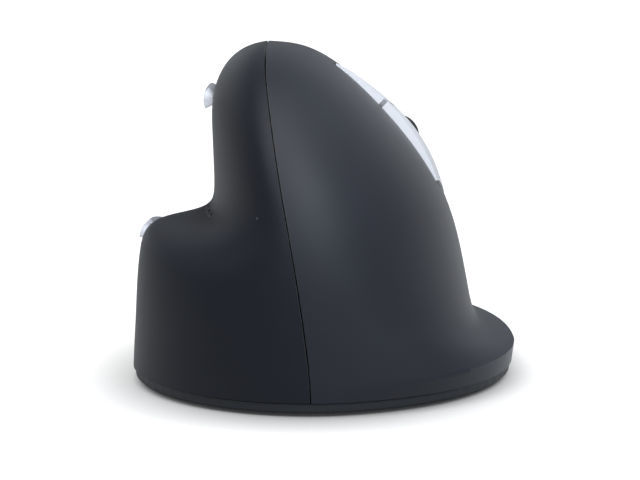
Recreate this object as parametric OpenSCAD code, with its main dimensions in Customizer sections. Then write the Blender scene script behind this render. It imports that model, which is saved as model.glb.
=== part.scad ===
// Vertical ergonomic mouse for the right hand, seen from the wrist:
// +X is the finger side, +Y points away from the user, +Z is up.
// The origin lies on the desk under the middle of the body.

/* [Body] */
// Width across the thumb rest and the finger ledge
body_w = 80; // [78:0.5:84]
// Length from the heel of the palm to the nose
body_l = 108; // [106:0.5:112]
// Height of the ridge above the desk
body_h = 68; // [67:0.5:71]
// Wall of the two shells
wall_t = 2; // [1.6:0.1:2.4]
// Height of the thumb rest above the desk
thumb_rest_h = 33; // [32:0.5:35]
// Distance of the thumb wall from the middle plane
thumb_wall_x = 23.6; // [23:0.1:25]
// Height of the little-finger ledge above the desk
ledge_h = 9.6; // [9.2:0.1:10.4]
// How far the rim of the palm shell draws in under its crease
rim_taper = 0.6; // [0.3:0.1:1]
// Gap between the two shells along the seam
seam_gap = 0.3; // [0.2:0.05:0.5]

/* [Base] */
// Height of the base plate above the desk, made by the glide feet
stand_h = 0.6; // [0.5:0.1:1]
// Thickness of the base plate
base_t = 2; // [2:0.1:2.4]
// Gap between the base plate and the shells
base_gap = 0.2; // [0.15:0.05:0.4]
// Inset of the base plate from the shell rim
base_inset = 0.4; // [0.3:0.1:0.8]
// Thickness of a glide foot
foot_t = 0.8; // [0.7:0.1:1.2]

/* [Finger panel] */
// Gap round the buttons
button_gap = 0.5; // [0.45:0.05:0.6]
// Wall of the buttons
button_t = 1.8; // [1.5:0.1:2]
// How far the main buttons stand proud in the middle
button_crown = 1.5; // [1:0.1:1.7]
// Radius of the scroll wheel over the tyre
wheel_r = 10.5; // [10:0.1:11]
// Width of the scroll wheel
wheel_w = 6; // [5:0.1:6.4]
// Gap round the wheel in the buttons
slot_gap = 1; // [0.8:0.1:1.2]
// How far the wheel stands out of the body
wheel_out = 3.2; // [2.8:0.1:3.6]
// Radius of the wheel axle
axle_r = 1; // [0.8:0.05:1.1]
// Radius of the button hinge pin
pin_r = 0.75; // [0.6:0.05:0.9]

/* [Thumb buttons] */
// How far the thumb buttons stand proud
thumb_proud = 1.9; // [1.4:0.1:2.2]
// How far the thumb rest trim stands proud
trim_proud = 0.9; // [0.4:0.1:1]

/* [Boards] */
// Thickness of the main and finger boards
board_t = 1.6; // [1.2:0.1:1.6]
// Thickness of the thumb board
thumb_board_t = 1.2; // [1:0.1:1.6]
// Depth of the finger board's top face under the body surface
finger_board_depth = 12; // [11.8:0.1:12.4]
// Depth of the thumb board's outer face under the body surface
thumb_board_depth = 9; // [8.8:0.1:10]
// Height of the main board's lower face above the desk
main_board_z = 9; // [9:0.1:10]

/* [Switches] */
// Length of a microswitch
micro_l = 12.8; // [12:0.1:13]
// Width of a microswitch
micro_w = 5.8; // [5.4:0.1:6]
// Height of a microswitch
micro_h = 6.5; // [6:0.1:6.6]
// Side of a small switch
tact_w = 4.5; // [4:0.1:4.6]
// Height of a small switch
tact_h = 2.6; // [2.4:0.1:2.8]
// Radius of a switch plunger
plunger_r = 0.9; // [0.7:0.05:1.1]

/* [Battery] */
// Radius of a cell
cell_r = 5.25; // [5:0.05:5.3]
// Length of a cell
cell_l = 44.5; // [43:0.1:45]
// Gap round each cell
cell_gap = 0.25; // [0.2:0.05:0.4]
// Wall of the battery bay
bay_wall = 1; // [0.8:0.1:1.2]
// Thickness of the battery door
door_t = 1.4; // [1.2:0.1:1.4]

/* [Fits] */
// Radial clearance of pins and axles that turn
run_fit = 0.05; // [0.04:0.01:0.08]
// Clearance of pieces that slide
slide_fit = 0.15; // [0.1:0.05:0.2]
// Clearance of pieces that are clipped in place
clip_fit = 0.12; // [0.1:0.02:0.2]
// Radius of a screw's shank
screw_r = 1; // [0.8:0.1:1.1]

/* [Hidden] */
$fn = 48;

half_w = body_w / 2;
half_l = body_l / 2;
base_top = stand_h + base_t;
rim_z = base_top + base_gap;
ridge_x = -12;
ridge_y = 4;
thumb_y = -15;
ledge_y = -9;

// Rails of the body: control points of four curves that climb the thumb side, the finger side,
// the back and the front. The back and front rails are the seam between the two shells.
// On the finger side the rails make the ledge above its crease; under it a straight rim wall goes
// down to the first point, so that the second point only steers the slope of the ledge.
thumb_rail = [
    [-half_w + 0.4, thumb_y, rim_z],
    [-half_w + 0.6, thumb_y, rim_z + 4.2],
    [-half_w + 1.0, thumb_y, rim_z + 10.7],
    [-half_w + 1.3, thumb_y, thumb_rest_h - 12.5],
    [-half_w + 1.8, thumb_y + 2, thumb_rest_h - 6],
    [-half_w + 2.8, thumb_y + 5, thumb_rest_h - 1.7],
    [-half_w + 10, thumb_y + 9, thumb_rest_h - 1.1],
    [-thumb_wall_x + 0.6, thumb_y + 12, thumb_rest_h + 0.1],
    [-thumb_wall_x + 0.5, thumb_y + 14, thumb_rest_h + 8],
    [-thumb_wall_x, thumb_y + 16, body_h - 18],
    [-thumb_wall_x - 0.3, thumb_y + 18, body_h - 10.6],
    [ridge_x - 8.8, ridge_y, body_h - 4.2],
    [ridge_x - 4.4, ridge_y, body_h - 1.1],
    [ridge_x, ridge_y, body_h - 0.1]];
finger_rail = [
    [half_w - 0.4, ledge_y, rim_z],
    [half_w + 2.8, ledge_y, ledge_h - 3.8],
    [half_w - 0.5, ledge_y, ledge_h - 2.8],
    [half_w - 3.8, ledge_y, ledge_h - 1.8],
    [half_w - 8.6, ledge_y + 3, ledge_h],
    [half_w - 9.8, ledge_y + 8, ledge_h + 6.7],
    [half_w - 11, ledge_y + 14, ledge_h + 13.9],
    [half_w - 12.9, ledge_y + 14, ledge_h + 21.4],
    [23.9, ledge_y + 14, body_h - 29.4],
    [19.0, ledge_y + 14, body_h - 21.8],
    [13.0, ledge_y + 14, body_h - 14.7],
    [5.4, ledge_y + 14, body_h - 7.1],
    [-3.5, ridge_y, body_h - 0.8],
    [ridge_x, ridge_y, body_h - 0.1]];
back_rail = [
    [-2.8, -half_l + 0.4, rim_z],
    [-2.9, -half_l, rim_z + 3.2],
    [-3.3, -half_l, rim_z + 7.7],
    [-3.9, -half_l + 0.1, rim_z + 12.7],
    [-4.6, -half_l + 0.5, rim_z + 17.7],
    [-5.4, -half_l + 1.1, rim_z + 23.2],
    [-6.4, -half_l + 2.2, rim_z + 29.2],
    [-7.5, -half_l + 4, rim_z + 35.2],
    [-8.7, -half_l + 6.8, body_h - 23.5],
    [-9.9, -half_l + 11.4, body_h - 16.5],
    [-11.1, -half_l + 18.5, body_h - 9.2],
    [-12, -half_l + 29, body_h - 3],
    [ridge_x - 0.4, ridge_y - 14, body_h + 0.1],
    [ridge_x, ridge_y, body_h - 0.1]];
front_rail = [
    [-3, half_l - 0.4, rim_z],
    [-3, half_l, rim_z + 1.6],
    [-3, half_l, rim_z + 3.2],
    [-3, half_l - 0.5, rim_z + 4],
    [-3.4, half_l - 1.5, rim_z + 4.6],
    [-4, half_l - 2, rim_z + 8],
    [-5, half_l - 2, rim_z + 13.6],
    [-6, half_l - 2, rim_z + 17.7],
    [-7, half_l - 2.5, body_h - 41.5],
    [-8, half_l - 4, body_h - 33.5],
    [-9.4, half_l - 7.5, body_h - 24.5],
    [-11, half_l - 16, body_h - 14],
    [ridge_x, ridge_y + 16, body_h - 2.8],
    [ridge_x, ridge_y, body_h - 0.1]];
// Squareness of each ring ahead of the side rails, thumb side and finger side
front_power = [[1.9, 2.15], [1.9, 2.15], [1.9, 2.15], [1.9, 2.15], [1.9, 2.4], [1.9, 2.5], [1.9, 2.4],
    [2, 2.3], [2.1, 2.5], [2.2, 2.7], [2.2, 2.7], [2.2, 2.5], [2, 2.2], [2, 2]];
last_ring = len(thumb_rail) - 1;
// Ring of the ledge's crease, and how many rings it comes down towards the back
crease_w = 2;
crease_drop = 1.14;

// Finger panel: from the palm (u) to the nose, and from its lower to its upper edge (w)
panel_u = [-8, 62];
panel_w = [7.95, 11.4];
split_w = 10.15;
wheel_u = 20;
// Ring lines dip by this much over the panel, so that the buttons follow the fingers downhill
panel_dip = 1.05;
dip_u = [-8, 22];
// Thumb button windows, from front to back, and their height in rings
thumb_u = [142, 165, 188];
thumb_w = [9.5, 10.2];
// Indicators in the hollow beside the thumb wall
indicator_u = [185, 193.5, 202];
indicator_w = 6.97;
// Trim on the edge of the thumb rest
trim_u = [112, 176];
trim_w = [4.2, 5.05];

// Fits and small pieces
screw_fit = 0.02;
seat_fit = 0.04;
plunger_fit = 0.25;
plunger_in = 1.8;
stem_r = 1.4;
head_r = 1.9;
head_t = 1;
head_sink = 1.1;
lug_inset = 4.2;
lug_r = 2.8;
lug_h = 3.5;
pilot_l = 3.1;
thumb_lugs = [135, 225];
palm_lugs = [-28, 31];

// Finger side, measured in its own frame
board_z = -finger_board_depth;
wheel_z = wheel_out - wheel_r;
hinge_u = -3;
hinge_depth = 4.3;
knuckle_r = 2;
left_knuckle = [-12.2, -5.2];
right_knuckle = [-1.6, 9.4];
ear_x = [-15, -4.4, 10];
ear_t = 2.2;
switch_x = 10.5;
switch_y = 0;
button_travel = 0.5;
plunger_top = board_z + micro_h + 0.9;
stem_top = -2;
hub_r = 8.4;
tyre_r = hub_r + seat_fit;
tyre_ribs = 24;
tread_r = 5;
slot_y = wheel_r + 0.5;
carrier_x = [wheel_w / 2 + 1.4, wheel_w / 2 + 3.2];
carrier_y = [-slot_y - 3.2, slot_y + 3.2];
axle_l = 2 * carrier_x[1] + 0.6;
tilt_y = -slot_y - 1.9;
post_x = [carrier_x[1] + 0.4, carrier_x[1] + 3];
wheel_switch_y = slot_y + 1.7;
carrier_t = 1.6;
wheel_travel = 0.6;
eye_x = carrier_x[1];
eye_y = -5.6;
board_slot_y = sqrt(wheel_r * wheel_r - pow(wheel_z - board_z, 2)) + 0.6;
finger_board_outline = [[-17.5, -17], [15, -17], [15, 17], [-11.5, 17], [-17.5, 7]];
finger_ribs = [-14, 14];
finger_screws = [[-13, -14], [12.5, -14], [-10, 14], [10, 14]];
finger_rib_x = [-17, 14.5];
rib_t = 2.4;

// Thumb side, measured in its own frame
thumb_board_x = [-12, 3];
thumb_board_y = [-19, 13];
thumb_arms = [-15, 2];
thumb_screw_x = -8.5;
thumb_stem_x = -0.5;
thumb_switch_y = [8.8, -9.6];
thumb_travel = 0.5;
thumb_plunger_top = tact_h - thumb_board_depth + 1.2;

// Base
edge_h = 0.6;
cell_x = 4.8;
cell_x2 = cell_x + 2 * cell_r + 0.5;
cell_y = 7.5 - 0.5 * half_l;
cell_z = stand_h + door_t + cell_gap + cell_r;
cap_l = 1;
contact_t = 0.4;
contact_w = 3.7;
spring_l = 3;
wire_r = 0.3;
coil_rings = 10;
coil_turns = 3;
bay_y = [cell_y - spring_l, cell_y + cell_l + contact_t];
bay_roof = cell_z + cell_r + cell_gap + bay_wall;
door_x = [cell_x - cell_r - cell_gap - 0.9, cell_x2 + cell_r + cell_gap + 0.9];
pocket = [cell_x - 5.4, cell_x + 9.4, bay_y[0] - bay_wall - 20, bay_y[0] - bay_wall];
pocket_top = stand_h + door_t + 6;
door_y = [pocket[2] - bay_wall - 0.5, cell_y + cell_l + 3.5];
door_inset = 4;
grip = [(door_x[0] + door_x[1]) / 2, door_y[1] - 4];
band_inset = [5.5, 9.5];
foot_bands = [[65, 100], [160, 195], [232, 262], [-18, 20]];
spine_y = [-half_l + 12, half_l - 8];
board_x = -half_w + 6.5;
main_board_outline = [[board_x, -26], [board_x, 6], [board_x + 7.5, 24], [-5.2, 24],
    [-5.2, spine_y[0] + 8], [board_x + 9.5, spine_y[0] + 8]];
board_posts = [[board_x + 3, -19], [-8.2, spine_y[0] + 10.6], [board_x + 8, 16.5], [-9, 20]];
spine_x = [-4.6, -2.2];
spine_outline = [[spine_y[0], base_top], [spine_y[0], 7], [spine_y[0] + 12, 12], [spine_y[0] + 30, 18],
    [-6, 52], [spine_y[1] - 16, 62], [spine_y[1], 24], [spine_y[1], base_top]];
foot_flange = 2.2;
front_foot_y = bay_y[1] + bay_wall + 3;
frame_feet = [[-12, spine_x[1], spine_y[0] - 1.5, spine_y[0] + 6], [-14, 4, front_foot_y, front_foot_y + 10]];
frame_screws = [[-8, spine_y[0] + 2.2], [-10, front_foot_y + 3.4], [1, front_foot_y + 3.4]];
sensor = [-17, 4];
sensor_t = 2.8;
sensor_hole_r = 3.5;
chip = [-17, -20];
lamp_t = 0.8;
guide_r = 0.9;
guide_tip_r = 0.45;
dpi = [-17, -14];
dpi_r = 3;
dpi_travel = 0.5;
dpi_plunger_z = main_board_z - tact_h - 1;
power = [-17, -26];
power_z = main_board_z - 3.4;
power_travel = 4;

function bspline(f) =
    [pow(1 - f, 3), 3 * pow(f, 3) - 6 * f * f + 4, -3 * pow(f, 3) + 3 * f * f + 3 * f + 1, pow(f, 3)] / 6;
function control(rail, i) =
    i < 0 ? 2 * rail[0] - rail[1] :
    i > last_ring ? 2 * rail[last_ring] - rail[last_ring - 1] : rail[i];
function on_rail(rail, t) =
    let (k = min(floor(t), last_ring - 1), b = bspline(t - k))
    b[0] * control(rail, k - 1) + b[1] * control(rail, k) +
    b[2] * control(rail, k + 1) + b[3] * control(rail, k + 2);
function ramp(x, a, b) = let (f = min(1, max(0, (x - a) / (b - a)))) f * f * (3 - 2 * f);
function dipped(u, w) =
    w - panel_dip * ramp(u, dip_u[0], dip_u[1]) * ramp(w, 5, 8) * (1 - ramp(w, 10.8, last_ring));

// The rim wall tapers in below the crease on the finger side
function below_crease(w) = max(0, 1 - w / crease_w);
function taper(u, w) = rim_taper * ramp(cos(u), 0.02, 0.5) * below_crease(w) / half_w;
function finger_side(w, t) =
    let (k = below_crease(w)) k * finger_rail[0] + (1 - k) * on_rail(finger_rail, max(t, crease_w));
function sunk(w) = crease_drop * min(w / crease_w, 1 - ramp(w, crease_w, 5));

// Point of the body at angle u round the ring and height w in rings
function body_point(u, w) =
    let (a = u > 180 ? u - 360 : u, t = abs(a) < 90 ? dipped(a, w) : w, c = cos(u), s = sin(u),
        side = c >= 0 ? finger_side(w, t) : on_rail(thumb_rail, t),
        end = s >= 0 ? on_rail(front_rail, t) : on_rail(back_rail, c >= 0 ? t - sunk(w) : t),
        power = s < 0 ? 2 : on_rail(front_power, t)[c >= 0 ? 1 : 0],
        across = pow(abs(c), 2 / power), along = pow(abs(s), 2 / power), k = 1 - taper(u, w))
    [k * (end.x + (side.x - end.x) * across), k * (side.y + (end.y - side.y) * along),
        side.z * c * c + end.z * s * s];
function unit(v) = v / norm(v);
// Angle u, kept on its own side of the seam
function own_side(u, side) = cos(side) >= 0 ? min(89.99, max(-89.99, u)) : min(269.99, max(90.01, u));
function across_u(u, w) = body_point(own_side(u + 0.4, u), w) - body_point(own_side(u - 0.4, u), w);
function across_w(u, w) = body_point(u, min(w + 0.02, last_ring)) - body_point(u, max(w - 0.02, 0));
function body_normal(u, w) =
    w > last_ring - 0.01 ? [0, 0, 1] : unit(cross(across_u(u, w), across_w(u, w)));
function skin(u, w, out) = body_point(u, w) + out * body_normal(u, w);

// Frame that stands on the body: x across, y forward, z outwards
function stand_on(u, w) =
    let (n = body_normal(u, w), d = (cos(u) >= 0 ? 1 : -1) * (body_point(u + 0.5, w) - body_point(u - 0.5, w)),
        f = unit(d - n * (d * n)), s = cross(f, n), o = body_point(u, w))
    [[s.x, f.x, n.x, o.x], [s.y, f.y, n.y, o.y], [s.z, f.z, n.z, o.z], [0, 0, 0, 1]];

// Place of a point in such a frame
function in_frame(m, p) =
    let (d = p - [m[0][3], m[1][3], m[2][3]])
    [for (k = [0:2]) d * [m[0][k], m[1][k], m[2][k]]];

// Even steps from a to b, without b
function steps(a, b, n) = [for (i = [0:n - 1]) a + (b - a) * i / n];
// Gap measured on the body, turned into degrees of u and into rings
function gap_u(u, w, g) = g / norm(body_point(u + 0.5, w) - body_point(u - 0.5, w));
function gap_w(u, w, g) = 0.1 * g / norm(body_point(u, w + 0.05) - body_point(u, w - 0.05));

// Curved plate over the grid us x ws, between two offsets from the body.
// Cells whose middle lies in one of the holes [u0, u1, w0, w1] are left open,
// and the outer border is drawn in by the gap.
module plate(us, ws, inner, outer, holes = [], gap = 0) {
    nu = len(us) - 1;
    nw = len(ws) - 1;
    pole = ws[nw] > last_ring - 0.01;
    function in_hole(i, j) = len([for (h = holes)
        if ((us[i] + us[i + 1]) / 2 > h[0] && (us[i] + us[i + 1]) / 2 < h[1] &&
            (ws[j] + ws[j + 1]) / 2 > h[2] && (ws[j] + ws[j + 1]) / 2 < h[3]) 1]) > 0;
    kept = [for (i = [0:nu - 1]) [for (j = [0:nw - 1]) !in_hole(i, j)]];
    function open(i, j) = i >= 0 && j >= 0 && i < nu && j < nw && kept[i][j];
    function grid_uw(i, j) =
        let (u = us[i] + (i == 0 ? 1 : i == nu ? -1 : 0) * (gap > 0 ? gap_u(us[i], ws[j], gap) : 0),
            w = ws[j] + (j == 0 ? 1 : j == nw ? -1 : 0) * (gap > 0 ? gap_w(us[i], ws[j], gap) : 0))
        [u, w];
    function offset_at(o, uw) = is_function(o) ? o(uw[0], uw[1]) : o;
    grid = [for (i = [0:nu]) [for (j = [0:nw]) grid_uw(i, j)]];
    count = (nu + 1) * (nw + 1);
    points = [for (o = [outer, inner]) for (i = [0:nu]) for (j = [0:nw])
        let (uw = grid[i][j]) skin(uw[0], uw[1], offset_at(o, uw))];
    function id(i, j, low) = (pole && j == nw ? nw : i * (nw + 1) + j) + low * count;
    function quad(a, b, c, d) = [for (f = [[a, b, c], [a, c, d]])
        if (f[0] != f[1] && f[1] != f[2] && f[0] != f[2]) f];
    faces = [for (i = [0:nu - 1]) for (j = [0:nw - 1]) if (kept[i][j]) each concat(
        quad(id(i, j, 0), id(i, j + 1, 0), id(i + 1, j + 1, 0), id(i + 1, j, 0)),
        quad(id(i, j, 1), id(i + 1, j, 1), id(i + 1, j + 1, 1), id(i, j + 1, 1)),
        open(i - 1, j) ? [] : quad(id(i, j, 0), id(i, j, 1), id(i, j + 1, 1), id(i, j + 1, 0)),
        open(i + 1, j) ? [] : quad(id(i + 1, j, 0), id(i + 1, j + 1, 0), id(i + 1, j + 1, 1), id(i + 1, j, 1)),
        open(i, j - 1) ? [] : quad(id(i, j, 0), id(i + 1, j, 0), id(i + 1, j, 1), id(i, j, 1)),
        open(i, j + 1) || (pole && j == nw - 1) ? [] :
            quad(id(i, j + 1, 0), id(i, j + 1, 1), id(i + 1, j + 1, 1), id(i + 1, j + 1, 0)))];
    polyhedron(points, faces);
}

// Box between two corners, upright rod, rod along X, and a profile in X and Z drawn out along Y
module box(a, b) { translate(a) cube(b - a); }
module rod(r, z0, z1) { translate([0, 0, z0]) cylinder(r = r, h = z1 - z0); }
module rod_x(r, x0, x1) { translate([x0, 0, 0]) rotate([0, 90, 0]) cylinder(r = r, h = x1 - x0); }
module along_y(y0, y1) { translate([0, y1, 0]) rotate([90, 0, 0]) linear_extrude(y1 - y0) children(); }

// Frames of the finger side, at the wheel, and of the thumb side, between the thumb buttons
finger = stand_on(wheel_u, split_w);
thumb = stand_on(thumb_u[1], (thumb_w[0] + thumb_w[1]) / 2);
module on_finger() { translate([seam_gap / 2, 0, 0]) multmatrix(finger) children(); }
module on_thumb() { translate([-seam_gap / 2, 0, 0]) multmatrix(thumb) children(); }

// Hinge of the main buttons, under their palm end
hinge_foot = in_frame(finger, skin(hinge_u, split_w, -button_t));
hinge_y = hinge_foot.y;
hinge_z = hinge_foot.z - hinge_depth;
web_top = hinge_foot.z + 1;

indicators = [for (u = indicator_u) body_point(u, indicator_w) - [seam_gap / 2, 0, 0]];

// Screw lugs on the inside of the shells, named by their angle round the rim
function rim_normal(u) = let (d = body_point(u + 0.5, 0) - body_point(u - 0.5, 0)) unit([d.y, -d.x]);
function rim_point(u, inset) = let (p = body_point(u, 0), n = rim_normal(u)) [p.x, p.y] - inset * n;
function lug_place(u) = rim_point(u, lug_inset) + [(cos(u) > 0 ? 1 : -1) * seam_gap / 2, 0];
module at_lugs(angles) { for (u = angles) translate(lug_place(u)) children(); }

module with_lugs(angles) {
    difference() {
        union() {
            children();
            at_lugs(angles) rod(lug_r, rim_z, rim_z + lug_h);
        }
        at_lugs(angles) rod(screw_r + screw_fit, rim_z - 1, rim_z + pilot_l);
    }
}

module thumb_shell() {
    us = concat(steps(90.01, trim_u[0], 4), steps(trim_u[0], thumb_u[0], 5), steps(thumb_u[0], trim_u[1], 5),
        steps(trim_u[1], thumb_u[2], 3), steps(thumb_u[2], 269.99, 12), [269.99]);
    ws = concat(steps(0, trim_w[0], 7), steps(trim_w[0], trim_w[1], 6), steps(trim_w[1], thumb_w[0], 11),
        steps(thumb_w[0], thumb_w[1], 3), steps(thumb_w[1], last_ring, 9), [last_ring]);
    color("#2e3036") difference() {
        with_lugs(thumb_lugs) translate([-seam_gap / 2, 0, 0])
            plate(us, ws, -wall_t, 0, [
                [thumb_u[0], thumb_u[2], thumb_w[0], thumb_w[1]],
                [trim_u[0], trim_u[1], trim_w[0], trim_w[1]]]);
        for (p = indicators) translate([p.x, p.y, 0]) rod(guide_tip_r + clip_fit, p.z - 6, p.z + 2);
    }
}

module palm_shell() {
    us = concat(steps(-89.99, panel_u[0], 14), steps(panel_u[0], panel_u[1], 12),
        steps(panel_u[1], 89.99, 5), [89.99]);
    ws = concat([0, 0.35 * crease_w, crease_w], steps(crease_w + 0.5, 5, 9), steps(5, panel_w[0], 5),
        steps(panel_w[0], panel_w[1], 9), steps(panel_w[1], last_ring, 6), [last_ring]);
    color("#3a3b40") with_lugs(palm_lugs) translate([seam_gap / 2, 0, 0])
        plate(us, ws, -wall_t, 0, [[panel_u[0], panel_u[1], panel_w[0], panel_w[1]]]);
}

module shelf_trim() {
    color("silver") translate([-seam_gap / 2, 0, 0])
        plate(concat(steps(trim_u[0], trim_u[1], 12), [trim_u[1]]),
            concat(steps(trim_w[0], trim_w[1], 6), [trim_w[1]]), 0.4 - wall_t, trim_proud, gap = slide_fit);
}

// Main buttons: curved plates that turn on one pin behind the wheel and press a stem on a microswitch
function crown(u, w) = 0.2 + button_crown * sin(180 * (w - panel_w[0]) / (panel_w[1] - panel_w[0]));

module button_plate(w0, w1) {
    us = concat(steps(panel_u[0], panel_u[1], 14), [panel_u[1]]);
    ws = concat(steps(w0, w1, 5), [w1]);
    translate([seam_gap / 2, 0, 0])
        plate(us, ws, -button_t, function(u, w) crown(u, w), gap = button_gap);
}

module main_button(w0, w1, knuckle, switch_x) {
    color("silver") difference() {
        union() {
            button_plate(w0, w1);
            on_finger() {
                translate([0, hinge_y, hinge_z]) rod_x(knuckle_r, knuckle[0], knuckle[1]);
                box([knuckle[0], hinge_y - 1.2, hinge_z], [knuckle[1], hinge_y + 1.2, web_top]);
                translate([switch_x, switch_y, 0]) rod(stem_r, plunger_top, stem_top);
            }
        }
        on_finger() translate([0, hinge_y, hinge_z]) rod_x(pin_r + run_fit, knuckle[0] - 1, knuckle[1] + 1);
        around_axle() rod(wheel_r + slot_gap, -wheel_w / 2 - slot_gap, wheel_w / 2 + slot_gap);
    }
}

module left_button() { main_button(split_w, panel_w[1], left_knuckle, -switch_x); }

module right_button() { main_button(panel_w[0], split_w, right_knuckle, switch_x); }

module microswitch(x) {
    color("#22252b") on_finger() translate([x, switch_y, board_z]) difference() {
        box([-micro_w / 2, -micro_l / 2, 0], [micro_w / 2, micro_l / 2, micro_h]);
        rod(plunger_r + plunger_fit, micro_h - plunger_in - button_travel - 0.6, micro_h + 1);
    }
}

module left_switch() { microswitch(-switch_x); }

module right_switch() { microswitch(switch_x); }

module micro_plunger(x) {
    color("crimson") on_finger() translate([x, switch_y, 0])
        rod(plunger_r, board_z + micro_h - plunger_in, plunger_top);
}

module left_plunger() { micro_plunger(-switch_x); }

module right_plunger() { micro_plunger(switch_x); }

module hinge_pin() {
    color("gainsboro") on_finger() translate([0, hinge_y, hinge_z]) rod_x(pin_r, ear_x[0], ear_x[2] + ear_t);
}

// Scroll wheel: spoked hub, ribbed tyre and steel axle, carried in a tilting ring
module around_axle() { on_finger() translate([0, 0, wheel_z]) rotate([0, 90, 0]) children(); }

module wheel_hub() {
    color("#15161a") around_axle() difference() {
        union() {
            translate([0, 0, -wheel_w / 2]) difference() {
                cylinder(r = hub_r, h = wheel_w);
                translate([0, 0, -1]) cylinder(r = hub_r - 1.2, h = wheel_w + 2);
            }
            translate([0, 0, -0.8]) cylinder(r = hub_r - 0.6, h = 1.6);
            translate([0, 0, -wheel_w / 2]) cylinder(r = 2.4, h = wheel_w);
        }
        translate([0, 0, -wheel_w]) cylinder(r = axle_r + screw_fit, h = 2 * wheel_w);
        for (k = [0:7]) rotate(45 * k) translate([(hub_r + 1.2) / 2, 0, -2]) cylinder(r = 1.1, h = 4);
    }
}

module wheel_tyre() {
    color("#26272b") around_axle() difference() {
        rotate_extrude() intersection() {
            translate([tyre_r, -wheel_w / 2]) square([wheel_r - tyre_r, wheel_w]);
            translate([wheel_r - tread_r, 0]) circle(tread_r);
        }
        for (k = [0:tyre_ribs - 1]) rotate(360 * k / tyre_ribs) translate([wheel_r + 0.25, 0, -wheel_w])
            cylinder(r = 0.6, h = 2 * wheel_w);
    }
}

module wheel_axle() { color("gainsboro") around_axle() rod(axle_r, -axle_l / 2, axle_l / 2); }

module wheel_carrier() {
    bar_z = [wheel_z - carrier_t / 2, wheel_z + carrier_t / 2];
    color("#33353b") on_finger() difference() {
        union() {
            for (m = [0, 1]) mirror([m, 0, 0]) {
                box([carrier_x[0], carrier_y[0], bar_z[0]], [carrier_x[1], carrier_y[1], bar_z[1]]);
                translate([0, 0, wheel_z]) rod_x(axle_r + 1.4, carrier_x[0], carrier_x[1]);
                translate([0, tilt_y, wheel_z]) rod_x(axle_r, carrier_x[1] - 0.5, post_x[1]);
            }
            for (y = [[carrier_y[0], -slot_y - 0.4], [slot_y + 0.4, carrier_y[1]]])
                box([-carrier_x[1], y[0], bar_z[0]], [carrier_x[1], y[1], bar_z[1]]);
        }
        translate([0, 0, wheel_z]) rod_x(axle_r + run_fit, -carrier_x[1] - 1, carrier_x[1] + 1);
    }
}

module wheel_posts() {
    color("#2b2d33") on_finger() for (m = [0, 1]) mirror([m, 0, 0]) difference() {
        box([post_x[0], tilt_y - 2, board_z], [post_x[1], tilt_y + 2, wheel_z + 2]);
        translate([0, tilt_y, wheel_z]) rod_x(axle_r + run_fit, post_x[0] - 1, post_x[1] + 1);
    }
}

// Small switch on a board: body with a round well for its plunger
module tact(travel) {
    difference() {
        box([-tact_w / 2, -tact_w / 2, 0], [tact_w / 2, tact_w / 2, tact_h]);
        rod(plunger_r + plunger_fit, tact_h - plunger_in - travel - 0.3, tact_h + 1);
    }
}

module wheel_switch() {
    color("#22252b") on_finger() translate([0, wheel_switch_y, board_z]) tact(wheel_travel);
}

module wheel_plunger() {
    color("ivory") on_finger() translate([0, wheel_switch_y, 0])
        rod(plunger_r, board_z + tact_h - plunger_in, wheel_z - carrier_t / 2);
}

module wheel_eye(x) {
    on_finger() box([x - 1, eye_y - 1.6, board_z], [x + 1, eye_y + 1.6, wheel_z - 2]);
}

module wheel_emitter() { color("lightsteelblue") wheel_eye(-eye_x); }

module wheel_detector() { color("#222222") wheel_eye(eye_x); }

// Thumb buttons: two domed keys that slide straight in, each with a stem on a small switch
module thumb_key(u0, u1, y) {
    function dome(u, w) =
        thumb_proud * (0.3 + 0.7 * sqrt(max(0, sin(180 * (w - thumb_w[0]) / (thumb_w[1] - thumb_w[0])))));
    color("silver") {
        translate([-seam_gap / 2, 0, 0])
            plate(concat(steps(u0, u1, 5), [u1]), concat(steps(thumb_w[0], thumb_w[1], 4), [thumb_w[1]]),
                -button_t, function(u, w) dome(u, w), gap = button_gap);
        on_thumb() translate([thumb_stem_x, y, 0]) rod(stem_r, thumb_plunger_top, -1);
    }
}

module forward_button() { thumb_key(thumb_u[0], thumb_u[1], thumb_switch_y[0]); }

module back_button() { thumb_key(thumb_u[1], thumb_u[2], thumb_switch_y[1]); }

module thumb_switch(y) {
    color("#22252b") on_thumb() translate([thumb_stem_x, y, -thumb_board_depth]) tact(thumb_travel);
}

module forward_switch() { thumb_switch(thumb_switch_y[0]); }

module back_switch() { thumb_switch(thumb_switch_y[1]); }

module thumb_plunger(y) {
    color("ivory") on_thumb() translate([thumb_stem_x, y, 0])
        rod(plunger_r, tact_h - plunger_in - thumb_board_depth, thumb_plunger_top);
}

module forward_plunger() { thumb_plunger(thumb_switch_y[0]); }

module back_plunger() { thumb_plunger(thumb_switch_y[1]); }

// Boards and the frame that carries them
module finger_board() {
    color("darkgreen") on_finger() difference() {
        translate([0, 0, board_z - board_t]) linear_extrude(board_t) polygon(finger_board_outline);
        box([-wheel_w / 2 - 1.6, -board_slot_y, board_z - 5], [wheel_w / 2 + 1.6, board_slot_y, board_z + 5]);
        for (p = finger_screws) translate(p) rod(screw_r + screw_fit, board_z - 5, board_z + 1);
    }
}

module thumb_board() {
    color("darkgreen") on_thumb() difference() {
        box([thumb_board_x[0], thumb_board_y[0], -thumb_board_depth - thumb_board_t],
            [thumb_board_x[1], thumb_board_y[1], -thumb_board_depth]);
        for (y = thumb_arms) translate([thumb_screw_x, y, 0])
            rod(screw_r + screw_fit, -thumb_board_depth - 5, 1);
    }
}

module main_board() {
    color("darkgreen") difference() {
        translate([0, 0, main_board_z]) linear_extrude(board_t) polygon(main_board_outline);
        for (p = board_posts) translate(p) rod(screw_r + screw_fit, 0, 30);
    }
}

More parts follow.
